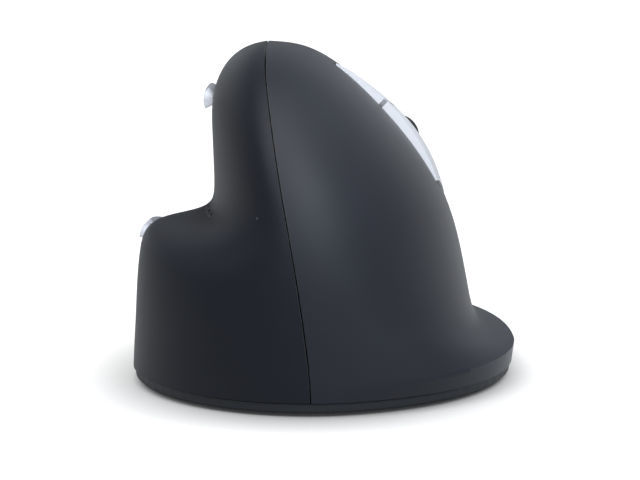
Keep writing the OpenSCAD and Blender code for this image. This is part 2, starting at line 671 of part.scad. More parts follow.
module inner_frame() {
    under_board = board_z - board_t;
    behind_thumb = -thumb_board_depth - thumb_board_t;
    bar_top = hinge_z - knuckle_r - button_gap;
    color("#3d4047") difference() {
        union() {
            intersection() {
                union() {
                    translate([spine_x[0], 0, 0]) rotate([90, 0, 90])
                        linear_extrude(spine_x[1] - spine_x[0]) polygon(spine_outline);
                    intersection() {
                        on_finger() for (y = finger_ribs)
                            box([finger_rib_x[0], y - rib_t / 2, under_board - 40],
                                [finger_rib_x[1], y + rib_t / 2, under_board + 1]);
                        box([spine_x[0], -30, bay_roof + 1], [60, 80, 80]);
                    }
                }
                on_finger() box([-80, -80, under_board - 90], [80, 80, under_board]);
            }
            intersection() {
                on_thumb() for (y = thumb_arms)
                    box([thumb_board_x[0], y - 2.4, behind_thumb - 25], [thumb_board_x[0] + 7, y + 2.4, behind_thumb]);
                box([-60, -40, 0], [spine_x[1], 80, 80]);
            }
            on_finger() {
                for (p = finger_screws) translate(p) rod(2.3, under_board - 8, under_board);
                box([ear_x[0], hinge_y - 2, under_board - 2.4], [ear_x[2] + ear_t, finger_ribs[0], under_board]);
                box([ear_x[0], hinge_y - 2, under_board - 2.4], [ear_x[2] + ear_t, hinge_y + 2, bar_top]);
                for (x = ear_x) {
                    box([x, hinge_y - 2, under_board], [x + ear_t, hinge_y + 2, hinge_z]);
                    translate([0, hinge_y, hinge_z]) rod_x(2, x, x + ear_t);
                }
            }
            for (f = frame_feet) box([f[0], f[2], base_top], [f[1], f[3], base_top + foot_flange]);
        }
        on_finger() translate([0, hinge_y, hinge_z]) rod_x(pin_r + screw_fit, ear_x[0] - 1, ear_x[2] + ear_t + 1);
        on_finger() for (p = finger_screws) translate(p) rod(screw_r + screw_fit, under_board - 7, under_board + 1);
        on_thumb() for (y = thumb_arms) translate([thumb_screw_x, y, 0])
            rod(screw_r + screw_fit, behind_thumb - 6, behind_thumb + 1);
        for (p = frame_screws) translate(p) rod(screw_r + screw_fit, 0, base_top + foot_flange + 1);
    }
}

module screw(length) {
    rod(head_r, 0, head_t);
    rod(screw_r, -length, head_t / 2);
}

module board_screws() {
    color("gainsboro") {
        for (p = board_posts) translate([p.x, p.y, main_board_z + board_t]) screw(board_t + 4);
        on_finger() for (p = finger_screws) translate([p.x, p.y, board_z]) screw(board_t + 5);
        on_thumb() for (y = thumb_arms) translate([thumb_screw_x, y, -thumb_board_depth]) screw(thumb_board_t + 4);
    }
}

module base_screws() {
    color("gainsboro") {
        at_lugs(concat(thumb_lugs, palm_lugs)) translate([0, 0, stand_h + head_sink]) mirror([0, 0, 1])
            screw(base_t - head_sink + pilot_l - 0.6);
        for (p = frame_screws) translate([p.x, p.y, stand_h + head_sink]) mirror([0, 0, 1])
            screw(base_t - head_sink + foot_flange - 0.2);
    }
}

// Sensor, lamps and chip on the main board
module optical_sensor() {
    color("#111111") translate([sensor.x, sensor.y, 0]) difference() {
        box([-5, -6, main_board_z - sensor_t], [5, 6, main_board_z]);
        rod(1.2, main_board_z - sensor_t - 1, main_board_z - sensor_t + 0.8);
    }
}

module sensor_lens() {
    top = main_board_z - sensor_t;
    color("aliceblue") translate([sensor.x, sensor.y, 0]) difference() {
        union() {
            box([-8, -9, base_top], [8, 9, base_top + 1.4]);
            box([-5, -6, base_top], [5, 6, top]);
        }
        rod(2.2, base_top - 1, base_top + 0.8);
    }
}

module controller_chip() {
    color("#1a1a1a") box([chip.x - 3.5, chip.y - 3.5, main_board_z + board_t],
        [chip.x + 3.5, chip.y + 3.5, main_board_z + board_t + 1]);
}

module indicator_lamps() {
    color("ivory") for (p = indicators)
        box([p.x - 0.8, p.y - 0.8, main_board_z + board_t], [p.x + 0.8, p.y + 0.8, main_board_z + board_t + lamp_t]);
}

module light_guide() {
    foot_z = main_board_z + board_t + lamp_t + 0.1;
    first = indicators[0];
    last = indicators[len(indicators) - 1];
    color("aliceblue") {
        for (p = indicators) translate([p.x, p.y, 0]) {
            rod(guide_r, foot_z, p.z - wall_t - 2);
            rod(guide_tip_r, p.z - wall_t - 3, p.z - 0.15);
        }
        box([last.x - 1.5, last.y - 4, foot_z], [last.x + 0.5, first.y + 4, foot_z + 2]);
        for (y = [last.y - 4, first.y + 2])
            box([last.x - 1.5, y, main_board_z + board_t], [last.x + 0.5, y + 2, foot_z + 2]);
    }
}

// Base plate with its posts, battery bay and receiver pocket
module base_outline(inset) { polygon([for (u = [0:5:355]) rim_point(u, inset)]); }

module bay_profile(r) {
    k = sqrt(2) - 1;
    polygon([[cell_x - r, 0], [cell_x - r, cell_z + r], [cell_x2 + k * r, cell_z + r],
        [cell_x2 + r, cell_z + k * r], [cell_x2 + r, 0]]);
}

module base_blank() {
    translate([0, 0, stand_h + edge_h]) linear_extrude(base_t - edge_h) base_outline(base_inset);
    translate([0, 0, stand_h]) linear_extrude(base_t) base_outline(base_inset + edge_h);
}

// Battery door: it swings down about the lower edge of its straight back end
module door_outline(grow) {
    intersection() {
        translate([door_x[0] - grow, door_y[0] - grow])
            square([door_x[1] - door_x[0] + 2 * grow, door_y[1] - door_y[0] + 2 * grow]);
        base_outline(door_inset - grow);
    }
}

module foot_band(angles, grow) {
    list = steps(angles[0], angles[1], 8);
    ends = concat(list, [angles[1]]);
    polygon(concat([for (u = ends) rim_point(u, band_inset[0] - grow)],
        [for (k = [len(ends) - 1:-1:0]) rim_point(ends[k], band_inset[1] + grow)]));
}

module base_plate() {
    color("#1c1f26") difference() {
        union() {
            base_blank();
            for (p = board_posts) translate(p) rod(2.4, stand_h + 1, main_board_z);
            intersection() {
                along_y(bay_y[0] - bay_wall, bay_y[1] + bay_wall) bay_profile(cell_r + cell_gap + bay_wall);
                box([-80, -80, stand_h + 1], [80, 80, 80]);
            }
            box([pocket[0] - bay_wall, pocket[2] - bay_wall, stand_h + 1],
                [pocket[1] + bay_wall, bay_y[0], pocket_top + bay_wall]);
        }
        along_y(bay_y[0], bay_y[1]) bay_profile(cell_r + cell_gap);
        box([pocket[0], pocket[2], 0], [pocket[1], pocket[3], pocket_top]);
        linear_extrude(stand_h + door_t) door_outline(slide_fit);
        translate([grip.x, door_y[1], stand_h]) scale([1, 0.5, 0.25]) sphere(5);
        for (p = board_posts) translate(p) rod(screw_r + screw_fit, main_board_z - 5, main_board_z + 1);
        at_lugs(concat(thumb_lugs, palm_lugs)) screw_seat();
        for (p = frame_screws) translate(p) screw_seat();
        translate(sensor) rod(sensor_hole_r, 0, base_top + 1);
        translate(dpi) rod(dpi_r + slide_fit, 0, base_top + 1);
        box([power.x - 4.2, power.y - 2.2, 0], [power.x + 4.2, power.y + 2.2, base_top + 1]);
        for (a = foot_bands) translate([0, 0, stand_h - 1]) linear_extrude(1 + foot_t - stand_h) foot_band(a, clip_fit);
    }
}

module screw_seat() {
    rod(screw_r + slide_fit, 0, base_top + 1);
    rod(head_r + slide_fit, 0, stand_h + head_sink);
}

module glide_feet() { color("#2b2b2b") for (a = foot_bands) linear_extrude(foot_t) foot_band(a, 0); }

module battery_door() {
    color("#1c1f26") difference() {
        translate([0, 0, stand_h]) linear_extrude(door_t - 0.1) door_outline(0);
        for (k = [0:3]) box([grip.x - 5, grip.y - 2.4 * k, 0], [grip.x + 5, grip.y + 1 - 2.4 * k, stand_h + 0.4]);
    }
}

module cell(x) {
    color("steelblue") translate([x, cell_y, cell_z]) rotate([-90, 0, 0]) {
        cylinder(r = cell_r, h = cell_l - cap_l);
        translate([0, 0, cell_l - cap_l - 1]) cylinder(r = 1.9, h = cap_l + 1);
    }
}

module inner_cell() { cell(cell_x); }

module outer_cell() { cell(cell_x2); }

module cell_contacts() {
    color("gold") for (x = [cell_x, cell_x2]) {
        box([x - contact_w, cell_y + cell_l, cell_z - contact_w], [x + contact_w, bay_y[1], cell_z + contact_w]);
        box([x - contact_w, bay_y[0], cell_z - contact_w],
            [x + contact_w, bay_y[0] + contact_t, cell_z + contact_w]);
    }
}

// Coil drawn along Y from the contact plate to the cell
function coil(k, side) =
    let (a = 360 * k / coil_rings, r = 3.4 - 0.9 * k / (coil_rings * coil_turns) + wire_r * cos(side),
        run = spring_l - contact_t - 2 * wire_r - 0.1)
    [r * cos(a), run * k / (coil_rings * coil_turns) + wire_r * (1 + sin(side)) + contact_t, r * sin(a)];

module cell_spring() {
    last = coil_rings * coil_turns;
    sides = 6;
    points = [for (k = [0:last]) for (j = [0:sides - 1]) coil(k, 360 * j / sides)];
    ring_faces = [for (k = [0:last - 1]) for (j = [0:sides - 1])
        let (a = k * sides + j, b = k * sides + (j + 1) % sides, c = b + sides, d = a + sides)
        each [[a, c, b], [a, d, c]]];
    ends = concat([for (j = [1:sides - 2]) [0, j, j + 1]],
        [for (j = [1:sides - 2]) [last * sides, last * sides + j + 1, last * sides + j]]);
    polyhedron(points, concat(ring_faces, ends));
}

module cell_springs() {
    color("gainsboro") for (x = [cell_x, cell_x2]) translate([x, bay_y[0], cell_z]) cell_spring();
}

module receiver_body() {
    color("#222222") box([pocket[0] + 0.4, pocket[2] + 0.4, stand_h + door_t + 0.3],
        [pocket[1] - 0.4, pocket[2] + 6.8, pocket_top - 0.2]);
}

module receiver_plug() {
    mid = (stand_h + door_t + pocket_top) / 2;
    color("silver") difference() {
        box([pocket[0] + 1.4, pocket[2] + 6.8, mid - 2.25], [pocket[1] - 1.4, pocket[3] - 0.4, mid + 2.25]);
        box([pocket[0] + 1.8, pocket[2] + 8.8, mid - 0.4], [pocket[1] - 1.8, pocket[3], mid + 1.85]);
    }
}

// Underside controls: sensitivity button and power slide
module dpi_button() {
    color("#33353b") translate(dpi) {
        rod(dpi_r, stand_h + 0.15, base_top + 1.4);
        rod(dpi_r + 0.9, base_top + 0.1, base_top + 0.9);
        rod(stem_r, base_top, dpi_plunger_z);
    }
}

module dpi_switch() {
    color("#22252b") translate([dpi.x, dpi.y, main_board_z]) mirror([0, 0, 1]) tact(dpi_travel);
}

module dpi_plunger() {
    color("ivory") translate(dpi) rod(plunger_r, dpi_plunger_z, main_board_z - tact_h + plunger_in);
}

module power_switch() {
    color("#22252b") translate([power.x, power.y, 0]) difference() {
        box([-6, -3, power_z], [6, 3, main_board_z]);
        box([-4.4, -1.1, power_z - 1], [4.4, 1.1, power_z + 1.8]);
    }
}

module power_knob() {
    color("#5a5d66") translate([power.x - power_travel / 2, power.y, 0]) {
        box([-2, -2, stand_h + 0.15], [2, 2, base_top + 0.9]);
        box([-4.6, -3.2, base_top + 0.1], [4.6, 3.2, base_top + 0.9]);
        box([-0.9, -0.9, base_top], [0.9, 0.9, power_z + 1.4]);
    }
}

base_plate();
thumb_shell();
palm_shell();
shelf_trim();
glide_feet();
base_screws();
inner_frame();
main_board();
finger_board();
thumb_board();
board_screws();
optical_sensor();
sensor_lens();
controller_chip();
indicator_lamps();
light_guide();
left_switch();
right_switch();
wheel_switch();
forward_switch();
back_switch();
power_switch();
dpi_switch();
wheel_emitter();
wheel_detector();
wheel_posts();
hinge_pin();
inner_cell();
outer_cell();
cell_springs();
cell_contacts();
receiver_body();
receiver_plug();
left_button();
left_plunger();
right_button();
right_plunger();
wheel_carrier();
wheel_plunger();
wheel_hub();
wheel_tyre();
wheel_axle();
forward_button();
forward_plunger();
back_button();
back_plunger();
dpi_button();
dpi_plunger();
power_knob();
battery_door();
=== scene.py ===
import bpy
import bmesh
import math
from mathutils import Matrix, Vector


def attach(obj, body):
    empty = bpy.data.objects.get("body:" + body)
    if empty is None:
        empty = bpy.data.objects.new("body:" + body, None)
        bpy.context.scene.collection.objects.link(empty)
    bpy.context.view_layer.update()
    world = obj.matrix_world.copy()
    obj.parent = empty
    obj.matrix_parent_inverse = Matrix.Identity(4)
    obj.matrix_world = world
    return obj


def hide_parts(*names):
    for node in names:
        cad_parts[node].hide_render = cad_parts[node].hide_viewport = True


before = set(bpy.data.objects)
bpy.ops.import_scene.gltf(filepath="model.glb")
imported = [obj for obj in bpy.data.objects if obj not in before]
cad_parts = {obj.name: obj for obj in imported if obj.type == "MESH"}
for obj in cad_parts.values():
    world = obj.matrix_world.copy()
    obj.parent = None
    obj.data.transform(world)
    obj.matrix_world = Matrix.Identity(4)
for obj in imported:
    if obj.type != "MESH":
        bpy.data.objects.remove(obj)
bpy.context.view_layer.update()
scene = bpy.context.scene
scene.view_settings.view_transform = "Standard"


# The viewpoint: a long lens at the wrist end of the mouse, looking along the desk and a little down
# on it, with the frame moved so that the mouse sits left of centre and high in the picture.
view_tilt = math.radians(9)
view_reach = 0.560
view_height = 0.033
picture_w = 640
camera_data = bpy.data.cameras.new("camera")
camera_data.lens = 148.8
camera_data.sensor_width = 36
camera_data.shift_x = -5 / picture_w
camera_data.shift_y = -33.5 / picture_w
camera_data.clip_start = 0.01
camera = bpy.data.objects.new("camera", camera_data)
camera.location = (0, -view_reach * math.cos(view_tilt), view_height + view_reach * math.sin(view_tilt))
camera.rotation_euler = (math.pi / 2 - view_tilt, 0, 0)
scene.collection.objects.link(camera)
scene.camera = camera


# The studio: wide soft panels over the mouse and beside it, each a rectangle of even light aimed at
# the middle of the body. The panels at the sides are a little cooler than the one above.
light_aim = Vector((0, 0, 0.03))


def light_panel(name, place, width, height, power, colour=(0.86, 0.93, 1)):
    data = bpy.data.lights.new(name, "AREA")
    data.shape = "RECTANGLE"
    data.size = width
    data.size_y = height
    data.energy = power
    data.color = colour
    panel = bpy.data.objects.new(name, data)
    panel.location = place
    panel.rotation_euler = (light_aim - Vector(place)).to_track_quat("-Z", "Y").to_euler()
    panel.visible_camera = False
    scene.collection.objects.link(panel)


light_panel("top_panel", (0, -0.2, 1.0), 0.8, 0.8, 6.6, (1, 1, 1))
light_panel("key_panel", (0.55, -0.75, 0.9), 0.6, 0.6, 12.3)
light_panel("fill_panel", (-0.6, -0.45, 1.0), 0.6, 0.6, 4.2)
light_panel("right_panel", (0.6, 0.3, 0.9), 0.6, 0.6, 1.3)
light_panel("back_panel", (0.3, 1.2, 0.6), 1.2, 0.9, 0.9)
light_panel("left_panel", (-1.1, 0, 0.5), 0.7, 0.7, 0.3)
light_panel("front_panel", (0, -1.2, 0.7), 0.6, 0.6, 3.2)


# Shader maths: a signal wraps a socket, so that sums and products of signals are written as
# expressions, and a finish is one material whose nodes come from its add method.
class Signal:
    def __init__(self, finish, socket):
        self.finish = finish
        self.socket = socket

    def math(self, operation, first, second):
        return self.finish.add("ShaderNodeMath", {"operation": operation}, {0: first, 1: second})

    def __add__(self, other):
        return self.math("ADD", self, other)

    __radd__ = __add__

    def __mul__(self, other):
        return self.math("MULTIPLY", self, other)

    __rmul__ = __mul__

    def __pow__(self, other):
        return self.math("POWER", self, other)

    def __sub__(self, other):
        return self.math("SUBTRACT", self, other)

    def __rsub__(self, other):
        return self.math("SUBTRACT", other, self)

    def __lt__(self, other):
        return self.math("LESS_THAN", self, other)

    def __gt__(self, other):
        return self.math("GREATER_THAN", self, other)


class Finish:
    def __init__(self, name, shader="ShaderNodeBsdfPrincipled"):
        self.material = bpy.data.materials.new(name)
        self.material.use_nodes = True
        self.tree = self.material.node_tree
        self.tree.nodes.clear()
        self.output = self.tree.nodes.new("ShaderNodeOutputMaterial")
        self.shader = self.tree.nodes.new(shader)
        self.tree.links.new(self.shader.outputs[0], self.output.inputs["Surface"])

    def fill(self, node, sockets):
        for key, value in sockets.items():
            if isinstance(value, Signal):
                self.tree.links.new(value.socket, node.inputs[key])
            else:
                node.inputs[key].default_value = value

    def add(self, kind, settings, sockets, out=0):
        node = self.tree.nodes.new(kind)
        for key, value in settings.items():
            setattr(node, key, value)
        self.fill(node, sockets)
        return Signal(self, node.outputs[out])

    def place(self):
        return self.add("ShaderNodeTexCoord", {}, {}, "Object")

    def noise(self, scale, detail=2.0, roughness=0.5):
        return self.add("ShaderNodeTexNoise", {}, {
            "Vector": self.place(), "Scale": scale, "Detail": detail, "Roughness": roughness}, "Fac")

    def blend(self, factor, first, second):
        return self.add("ShaderNodeMix", {"data_type": "RGBA"}, {0: factor, 6: first, 7: second}, 2)

    def bump(self, height, distance, strength=1.0):
        return self.add("ShaderNodeBump", {}, {
            "Height": height, "Distance": distance, "Strength": strength}, "Normal")

    def surface(self, sockets):
        self.fill(self.shader, sockets)
        return self.material


def tone(red, green, blue):
    def linear(level):
        level = level / 255
        return level / 12.92 if level < 0.04045 else ((level + 0.055) / 1.055) ** 2.4
    return (linear(red), linear(green), linear(blue), 1)


# The floor: a wide pale sheet. The camera sees it lifted to white, straight on or through clear
# plastic, with the shadow of the mouse left on it. The shadow is gathered from a cone that leans
# away from the camera. The world behind is white in the same way, and dim for all other light.
floor_bounce = 0.42
floor_seen = 0.15
white_glow = 1.1
shadow_power = 1.3
shadow_reach = 0.02
floor_finish = Finish("pale_floor", "ShaderNodeAddShader")
seen = floor_finish.add("ShaderNodeLightPath", {}, {}, "Is Camera Ray")
through = floor_finish.add("ShaderNodeLightPath", {}, {}, "Is Transmission Ray")
floor_level = floor_bounce - seen * (floor_bounce - floor_seen)
floor_tone = floor_finish.add("ShaderNodeCombineColor", {}, {0: floor_level, 1: floor_level, 2: floor_level})
floor_paint = floor_finish.add("ShaderNodeBsdfDiffuse", {}, {"Color": floor_tone})
shadow_lean = floor_finish.add("ShaderNodeCombineXYZ", {}, {0: 0, 1: 0.5, 2: 0.87})
under = floor_finish.add("ShaderNodeAmbientOcclusion", {"samples": 16}, {
    "Distance": shadow_reach, "Normal": shadow_lean}, "AO")
floor_glow = floor_finish.add("ShaderNodeEmission", {}, {
    "Color": (1, 1, 1, 1), "Strength": (seen + through) * under ** shadow_power * white_glow})
floor_finish.surface({0: floor_paint, 1: floor_glow})
floor_mesh = bmesh.new()
bmesh.ops.create_grid(floor_mesh, x_segments=1, y_segments=1, size=6)
floor_data = bpy.data.meshes.new("floor")
floor_mesh.to_mesh(floor_data)
floor_mesh.free()
floor = bpy.data.objects.new("floor", floor_data)
floor_data.materials.append(floor_finish.material)
scene.collection.objects.link(floor)

world = bpy.data.worlds.new("studio")
world.use_nodes = True
scene.world = world
sky = world.node_tree
sky_light = sky.nodes["Background"]
sky_path = sky.nodes.new("ShaderNodeLightPath")
sky_seen = sky.nodes.new("ShaderNodeMath")
sky_seen.operation = "MAXIMUM"
sky.links.new(sky_path.outputs["Is Camera Ray"], sky_seen.inputs[0])
sky.links.new(sky_path.outputs["Is Transmission Ray"], sky_seen.inputs[1])
sky_level = sky.nodes.new("ShaderNodeMapRange")
sky_level.inputs["To Min"].default_value = 0.05
sky_level.inputs["To Max"].default_value = 1.0
sky.links.new(sky_seen.outputs[0], sky_level.inputs["Value"])
sky.links.new(sky_level.outputs[0], sky_light.inputs["Strength"])
sky_light.inputs["Color"].default_value = (1, 1, 1, 1)


# Palm shell: the large moulding under the palm and fingers, charcoal plastic with a soft-touch
# coat. Its form hangs on four rails that climb the thumb side, the finger side, the back and the
# front; it is open at the finger panel, and its rim has a crease above the base.
# A rail has one point, in millimetres, for each ring of the body, from the foot to the crown. The
# front power says how square each ring is in front, first on the thumb side, then on the finger side.
thumb_rail = [
    (-39.6, -15, 2.8), (-39.4, -15, 7.0), (-39.0, -15, 13.5), (-38.7, -15, 20.5), (-38.2, -13, 27.0),
    (-37.2, -10, 31.3), (-30.0, -6, 31.9), (-23.0, -3, 33.1), (-23.1, -1, 41.0), (-23.6, 1, 50.0),
    (-23.9, 3, 57.4), (-20.8, 4, 63.8), (-16.4, 4, 66.9), (-12.0, 4, 67.9)]
finger_rail = [
    (39.6, -9, 2.8), (42.8, -9, 5.8), (39.5, -9, 6.8), (36.2, -9, 7.8), (31.4, -6, 9.6),
    (30.2, -1, 16.3), (29.0, 5, 23.5), (27.1, 5, 31.0), (23.9, 5, 38.6), (19.0, 5, 46.2),
    (13.0, 5, 53.3), (5.4, 5, 60.9), (-3.5, 4, 67.2), (-12.0, 4, 67.9)]
back_rail = [
    (-2.8, -53.6, 2.8), (-2.9, -54.0, 6.0), (-3.3, -54.0, 10.5), (-3.9, -53.9, 15.5), (-4.6, -53.5, 20.5),
    (-5.4, -52.9, 26.0), (-6.4, -51.8, 32.0), (-7.5, -50.0, 38.0), (-8.7, -47.2, 44.5), (-9.9, -42.6, 51.5),
    (-11.1, -35.5, 58.8), (-12.0, -25.0, 65.0), (-12.4, -10.0, 68.1), (-12.0, 4.0, 67.9)]
front_rail = [
    (-3.0, 53.6, 2.8), (-3.0, 54.0, 4.4), (-3.0, 54.0, 6.0), (-3.0, 53.5, 6.8), (-3.4, 52.5, 7.4),
    (-4.0, 52.0, 10.8), (-5.0, 52.0, 16.4), (-6.0, 52.0, 20.5), (-7.0, 51.5, 26.5), (-8.0, 50.0, 34.5),
    (-9.4, 46.5, 43.5), (-11.0, 38.0, 54.0), (-12.0, 20.0, 65.2), (-12.0, 4.0, 67.9)]
front_power = [
    (1.9, 2.15), (1.9, 2.15), (1.9, 2.15), (1.9, 2.15), (1.9, 2.4), (1.9, 2.5), (1.9, 2.4),
    (2.0, 2.3), (2.1, 2.5), (2.2, 2.7), (2.2, 2.7), (2.2, 2.5), (2.0, 2.2), (2.0, 2.0)]
last_ring = len(thumb_rail) - 1
half_w = 40
crease_w = 2
crease_drop = 1.14
flare_w = 5
rim_taper = 0.6
rim_turn = (0.02, 0.5)
panel_u = (-8, 62)
panel_w = (7.95, 11.4)
panel_dip = 1.05
dip_u = (-8, 22)
dip_foot = (5, 8)
dip_head = (10.8, last_ring)
seam_gap = 0.3
seam_edge = 0.01
palm_ends = (-90 + seam_edge, 90 - seam_edge)
thumb_ends = (90 + seam_edge, 270 - seam_edge)
shell_t = 2
shell_edge = 0.15
shell_inset = 0.05
mm = 0.001


def on_rail(rail, height):
    ring = min(int(height), last_ring - 1)
    f = height - ring
    weights = ((1 - f) ** 3, 3 * f ** 3 - 6 * f * f + 4, -3 * f ** 3 + 3 * f * f + 3 * f + 1, f ** 3)
    total = Vector([0] * len(rail[0]))
    for step, weight in zip(range(ring - 1, ring + 3), weights):
        if step < 0:
            knot = 2 * Vector(rail[0]) - Vector(rail[1])
        elif step > last_ring:
            knot = 2 * Vector(rail[last_ring]) - Vector(rail[last_ring - 1])
        else:
            knot = Vector(rail[step])
        total += knot * (weight / 6)
    return total


def ramp(value, low, high):
    f = min(1, max(0, (value - low) / (high - low)))
    return f * f * (3 - 2 * f)


# Point of the body, in millimetres, at angle u round the rings and height w in rings
def body_point(u, w):
    turn = u - 360 if u > 180 else u
    c = math.cos(math.radians(u))
    s = math.sin(math.radians(u))
    height = w
    if abs(turn) < 90:
        height -= panel_dip * ramp(turn, *dip_u) * ramp(w, *dip_foot) * (1 - ramp(w, *dip_head))
    below = max(0, 1 - w / crease_w)
    side = on_rail(thumb_rail, height)
    end_height = height
    if c >= 0:
        side = Vector(finger_rail[0]) * below + on_rail(finger_rail, max(height, crease_w)) * (1 - below)
        end_height -= crease_drop * min(w / crease_w, 1 - ramp(w, crease_w, flare_w))
    end = on_rail(front_rail, height) if s >= 0 else on_rail(back_rail, end_height)
    power = 2 if s < 0 else on_rail(front_power, height)[0 if c < 0 else 1]
    across = abs(c) ** (2 / power)
    along = abs(s) ** (2 / power)
    draw = 1 - rim_taper * ramp(c, *rim_turn) * below / half_w
    return Vector((draw * (end.x + (side.x - end.x) * across), draw * (side.y + (end.y - side.y) * along),
                   side.z * c * c + end.z * s * s))


def body_normal(u, w):
    if w > last_ring - 0.01:
        return Vector((0, 0, 1))
    low, high = palm_ends if math.cos(math.radians(u)) >= 0 else thumb_ends
    around = body_point(min(high, u + 0.4), w) - body_point(max(low, u - 0.4), w)
    up = body_point(u, min(w + 0.02, last_ring)) - body_point(u, max(w - 0.02, 0))
    return around.cross(up).normalized()


def steps(first, last, count):
    return [first + (last - first) * k / count for k in range(count)]


# Millimetres that the body covers in one degree round it, and in one ring up it
def span_round(u, w):
    return (body_point(u + 0.5, w) - body_point(u - 0.5, w)).length


def span_up(u, w):
    return 10 * (body_point(u, w + 0.05) - body_point(u, w - 0.05)).length


# A sheet laid on the body over the lists of u and w: a flat grid, opened at the holes, whose border
# is drawn in by the gap and whose corners move onto the body, raised by lift(u, w) along its normal.
def body_sheet(us, ws, shift, lift, holes=(), gap=0):
    columns = len(us) - 1
    rows = len(ws) - 1
    sheet = bmesh.new()
    bmesh.ops.create_grid(sheet, x_segments=columns, y_segments=rows, size=0.5)
    opened = []
    for face in sheet.faces:
        middle = face.calc_center_median()
        i = int((middle.x + 0.5) * columns)
        j = int((middle.y + 0.5) * rows)
        u = (us[i] + us[i + 1]) / 2
        w = (ws[j] + ws[j + 1]) / 2
        if any(h[0] < u < h[1] and h[2] < w < h[3] for h in holes):
            opened.append(face)
    bmesh.ops.delete(sheet, geom=opened, context="FACES")
    for corner in sheet.verts:
        i = round((corner.co.x + 0.5) * columns)
        j = round((corner.co.y + 0.5) * rows)
        u = us[i]
        w = ws[j]
        if gap:
            low = us[0] + gap / span_round(us[0], w)
            high = us[-1] - gap / span_round(us[-1], w)
            foot = ws[0] + gap / span_up(u, ws[0])
            head = ws[-1] - gap / span_up(u, ws[-1])
            u = low + (high - low) * (u - us[0]) / (us[-1] - us[0])
            w = foot + (head - foot) * (w - ws[0]) / (ws[-1] - ws[0])
        place = body_point(u, w) + lift(u, w) * body_normal(u, w)
        corner.co = (place + Vector((shift, 0, 0))) * mm
    bmesh.ops.remove_doubles(sheet, verts=sheet.verts, dist=0.000001)
    return sheet


# A moulding made from a sheet: given its wall, its edges rounded, shaded smooth
def moulding(name, sheet, wall, edge, finish, body, *nodes):
    data = bpy.data.meshes.new(name)
    sheet.to_mesh(data)
    sheet.free()
    data.shade_smooth()
    data.materials.append(finish)
    piece = bpy.data.objects.new(name, data)
    scene.collection.objects.link(piece)
    thick = piece.modifiers.new("wall", "SOLIDIFY")
    thick.thickness = wall * mm
    thick.offset = -1
    rounded = piece.modifiers.new("edges", "BEVEL")
    rounded.width = edge * mm
    rounded.segments = 3
    rounded.limit_method = "ANGLE"
    rounded.angle_limit = math.radians(50)
    rounded.harden_normals = True
    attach(piece, body)
    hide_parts(*nodes)
    return piece


def soft_touch(name, dark, light, gloss, fuzz):
    finish = Finish(name)
    grain = finish.noise(2600, 3, 0.6)
    clouds = finish.noise(38, 3, 0.55)
    speck = finish.add("ShaderNodeTexVoronoi", {}, {"Vector": finish.place(), "Scale": 260}, "Distance")
    sparse = finish.noise(90, 1) > 0.68
    dust = (speck < 0.05) * sparse
    coat = finish.blend(clouds, dark, light)
    return finish.surface({
        "Base Color": finish.blend(dust * 0.35, coat, (0.3, 0.3, 0.3, 1)),
        "Roughness": 0.42 + clouds * 0.12 + grain * 0.06,
        "Normal": finish.bump(grain, 0.00004, 0.35),
        "Specular IOR Level": gloss,
        "Sheen Weight": fuzz,
        "Sheen Roughness": 0.4,
    })


# The shells lie just inside the body's surface, so that no rounding puts them outside it
def inset(u, w):
    return -shell_inset


palm_coat = soft_touch("palm_soft_touch", tone(27, 29, 36), tone(33, 35, 43), 0.26, 0.24)
palm_us = (steps(palm_ends[0], panel_u[0], 44) + steps(*panel_u, 44) + steps(panel_u[1], palm_ends[1], 16)
           + [palm_ends[1]])
palm_ws = (steps(0, crease_w, 5) + [crease_w] + steps(crease_w + 0.2, flare_w, 28)
           + steps(flare_w, panel_w[0], 20) + steps(*panel_w, 24) + steps(panel_w[1], last_ring, 16)
           + [last_ring])
palm_sheet = body_sheet(palm_us, palm_ws, seam_gap / 2, inset, holes=[(*panel_u, *panel_w)])
palm = moulding("palm_cover", palm_sheet, shell_t, shell_edge, palm_coat, "housing", "palm_shell")


# Thumb shell: the second moulding, of the same coated plastic, with the thumb rest and the upright
# thumb wall. It meets the palm shell along the back and front seams, is screwed to the base from
# below, and has windows for the thumb buttons and the trim.
thumb_u = (142, 165, 188)
thumb_w = (9.5, 10.2)
trim_u = (112, 176)
trim_w = (4.2, 5.05)
# Its colours are the palm coat's made darker and bluer: painted shade for the thumb side, which the lamps
# light less.
thumb_coat_shaded = soft_touch("thumb_soft_touch_painted_shade", tone(15, 18, 26), tone(20, 23, 32), 0.24, 0.16)
thumb_us = (steps(thumb_ends[0], trim_u[0], 14) + steps(trim_u[0], thumb_u[0], 16)
            + steps(thumb_u[0], trim_u[1], 18) + steps(trim_u[1], thumb_u[2], 8)
            + steps(thumb_u[2], thumb_ends[1], 50) + [thumb_ends[1]])
thumb_ws = (steps(0, trim_w[0], 22) + steps(*trim_w, 8) + steps(trim_w[1], thumb_w[0], 36)
            + steps(*thumb_w, 8) + steps(thumb_w[1], last_ring, 28) + [last_ring])
thumb_sheet = body_sheet(thumb_us, thumb_ws, -seam_gap / 2, inset, holes=[
    (thumb_u[0], thumb_u[2], *thumb_w), (*trim_u, *trim_w)])
thumb_cover = moulding("thumb_cover", thumb_sheet, shell_t, shell_edge, thumb_coat_shaded, "housing", "thumb_shell")


# Indicator holes: three dark caps, rounded and almost flush, that show beside the foot of the thumb
# wall. They are painted shade, standing in for the shadowed holes over the light guide's clear ends.
def painted_hole_shade(name):
    finish = Finish(name)
    depth = finish.noise(900, 2)
    # Near black throughout: painted shade for the hollow of each hole.
    return finish.surface({
        "Base Color": finish.blend(depth, tone(7, 7, 9), tone(14, 14, 17)),
        "Roughness": 0.3 + depth * 0.1,
    })


